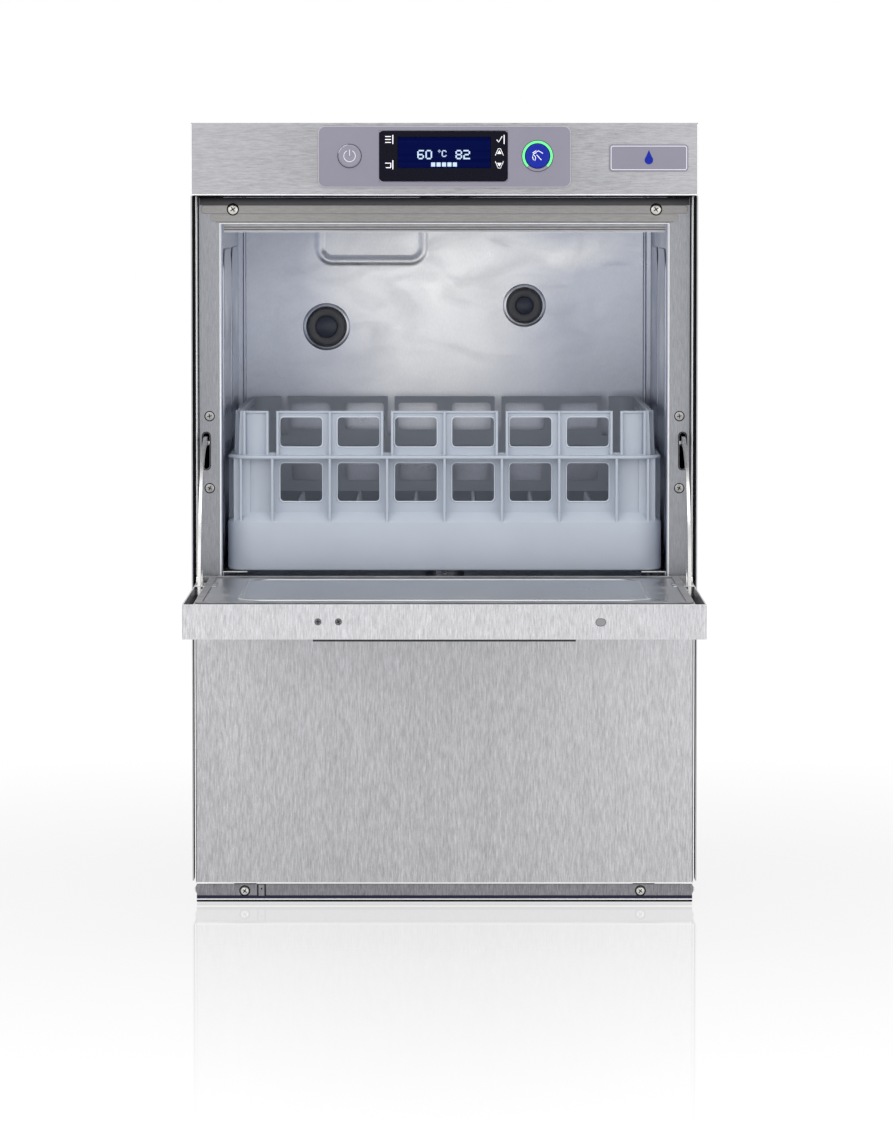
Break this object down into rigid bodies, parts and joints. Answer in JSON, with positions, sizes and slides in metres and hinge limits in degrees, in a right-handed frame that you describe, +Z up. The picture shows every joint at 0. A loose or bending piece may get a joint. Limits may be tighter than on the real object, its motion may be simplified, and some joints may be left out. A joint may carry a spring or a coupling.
{
  "type": "commercial dishwasher",
  "caption": "Under-counter commercial dishwasher in brushed steel with a drop-down door standing open, a sliding square plastic rack, and a control panel with screen and push buttons.",
  "frame": {"origin": "on the floor at the centre of the machine's box with its door open; the cabinet's front plane is at y = -0.097 m and its back edge at y = +0.433 m", "axes": "+Z up; -Y is the front, where the door opens; +X is the user's right"},
  "size_m": [0.45, 0.866, 0.695],
  "materials": {
    "brushed_panel": "brushed stainless steel, grain along X on the header and along Z on the door and panels",
    "bright_steel": "bright drawn or polished stainless steel",
    "dark_steel": "heat-darkened steel",
    "fascia_panel": "satin lavender-grey moulding",
    "black_plastic": "black, fine texture",
    "display_glass": "dark blue lit screen",
    "blue_plastic": "glossy blue",
    "green_light": "green light guide",
    "rack_plastic": "pale blue-grey polypropylene",
    "grey_plastic": "grey moulding",
    "white_plastic": "white moulding",
    "rubber": "matt rubber",
    "circuit_board": "green laminate",
    "brass": "machined brass",
    "cast_alloy": "cast alloy, satin"
  },
  "bodies": {
    "root": {"base_tray": "brushed_panel", "side_panel_left": "brushed_panel", "side_panel_right": "brushed_panel", "top_panel": "brushed_panel", "rear_panel": "brushed_panel", "lower_front_panel": "brushed_panel", "plinth_strip": "brushed_panel", "header_panel": "brushed_panel", "front_frame": "brushed_panel", "rack_rail_left": "brushed_panel", "rack_rail_right": "brushed_panel", "hinge_bracket_left": "brushed_panel", "hinge_bracket_right": "brushed_panel", "wash_chamber": "bright_steel", "wash_tank": "bright_steel", "tank_filter_tray": "bright_steel", "lower_arm_spindle": "bright_steel", "upper_arm_spindle": "bright_steel", "rinse_boiler": "bright_steel", "hinge_pin_left": "bright_steel", "hinge_pin_right": "bright_steel", "tank_heating_element": "dark_steel", "control_fascia": "fascia_panel", "badge_plate": "fascia_panel", "display_bezel": "black_plastic", "mains_cable_gland": "black_plastic", "door_switch": "black_plastic", "display_screen": "display_glass", "start_button_ring": "green_light", "wash_pump_housing": "grey_plastic", "drain_pump": "grey_plastic", "drain_outlet": "grey_plastic", "water_inlet_valve": "white_plastic", "detergent_pump": "white_plastic", "rinse_aid_pump": "white_plastic", "wash_feed_pipe": "rubber", "control_board": "circuit_board", "boiler_heating_element": "brass", "wash_pump_motor": "cast_alloy"},
    "door": {"door_outer_skin": "brushed_panel", "door_inner_liner": "bright_steel", "door_handle": "black_plastic", "door_seal": "rubber", "door_magnet": "grey_plastic", "door_stay_left": "bright_steel", "door_stay_right": "bright_steel"},
    "rack": {"rack_basket": "rack_plastic"},
    "lower_wash_rotor": {"lower_wash_arm": "bright_steel"},
    "lower_rinse_rotor": {"lower_rinse_arm": "bright_steel"},
    "upper_wash_rotor": {"upper_wash_arm": "bright_steel"},
    "upper_rinse_rotor": {"upper_rinse_arm": "bright_steel"},
    "power_key": {"power_button": "fascia_panel"},
    "start_key": {"start_button": "blue_plastic"},
    "pump_rotor": {"wash_pump_impeller": "grey_plastic"},
    "filter_basket": {"pump_filter_basket": "bright_steel"},
    "standpipe": {"overflow_standpipe": "grey_plastic"},
    "front_left_foot": {"foot_front_left": "rubber"},
    "front_right_foot": {"foot_front_right": "rubber"},
    "rear_left_foot": {"foot_rear_left": "rubber"},
    "rear_right_foot": {"foot_rear_right": "rubber"}
  },
  "joints": [
    {"name": "door_hinge", "type": "hinge", "parent": "root", "child": "door", "pos_m": [0, -0.082, 0.277], "axis": [-1, 0, 0], "range_deg": [0, 90]},
    {"name": "rack_slide", "type": "slide", "parent": "root", "child": "rack", "axis": [0, 1, 0], "range_m": [-0.345, 0]},
    {"name": "start_press", "type": "slide", "parent": "root", "child": "start_key", "axis": [0, 1, 0], "range_m": [0, 0.0015], "stiffness_N_per_m": 900},
    {"name": "power_press", "type": "slide", "parent": "root", "child": "power_key", "axis": [0, 1, 0], "range_m": [0, 0.0015], "stiffness_N_per_m": 900},
    {"name": "lower_wash_spin", "type": "hinge", "parent": "root", "child": "lower_wash_rotor", "pos_m": [0, 0.136, 0.263], "axis": [0, 0, 1], "continuous": true},
    {"name": "lower_rinse_spin", "type": "hinge", "parent": "root", "child": "lower_rinse_rotor", "pos_m": [0, 0.136, 0.28], "axis": [0, 0, 1], "continuous": true},
    {"name": "upper_wash_spin", "type": "hinge", "parent": "root", "child": "upper_wash_rotor", "pos_m": [0, 0.136, 0.623], "axis": [0, 0, 1], "continuous": true},
    {"name": "upper_rinse_spin", "type": "hinge", "parent": "root", "child": "upper_rinse_rotor", "pos_m": [0, 0.136, 0.607], "axis": [0, 0, 1], "continuous": true},
    {"name": "filter_lift", "type": "slide", "parent": "root", "child": "filter_basket", "axis": [0, 0, 1], "range_m": [0, 0.045]},
    {"name": "standpipe_lift", "type": "slide", "parent": "root", "child": "standpipe", "axis": [0, 0, 1], "range_m": [0, 0.05]},
    {"name": "impeller_spin", "type": "hinge", "parent": "root", "child": "pump_rotor", "pos_m": [0.026, 0.166, 0.066], "axis": [1, 0, 0], "continuous": true},
    {"name": "foot_front_left_turn", "type": "hinge", "parent": "root", "child": "front_left_foot", "pos_m": [-0.18, -0.035, 0.02], "axis": [0, 0, 1], "continuous": true},
    {"name": "foot_front_right_turn", "type": "hinge", "parent": "root", "child": "front_right_foot", "pos_m": [0.18, -0.035, 0.02], "axis": [0, 0, 1], "continuous": true},
    {"name": "foot_rear_left_turn", "type": "hinge", "parent": "root", "child": "rear_left_foot", "pos_m": [-0.18, 0.363, 0.02], "axis": [0, 0, 1], "continuous": true},
    {"name": "foot_rear_right_turn", "type": "hinge", "parent": "root", "child": "rear_right_foot", "pos_m": [0.18, 0.363, 0.02], "axis": [0, 0, 1], "continuous": true}
  ]
}
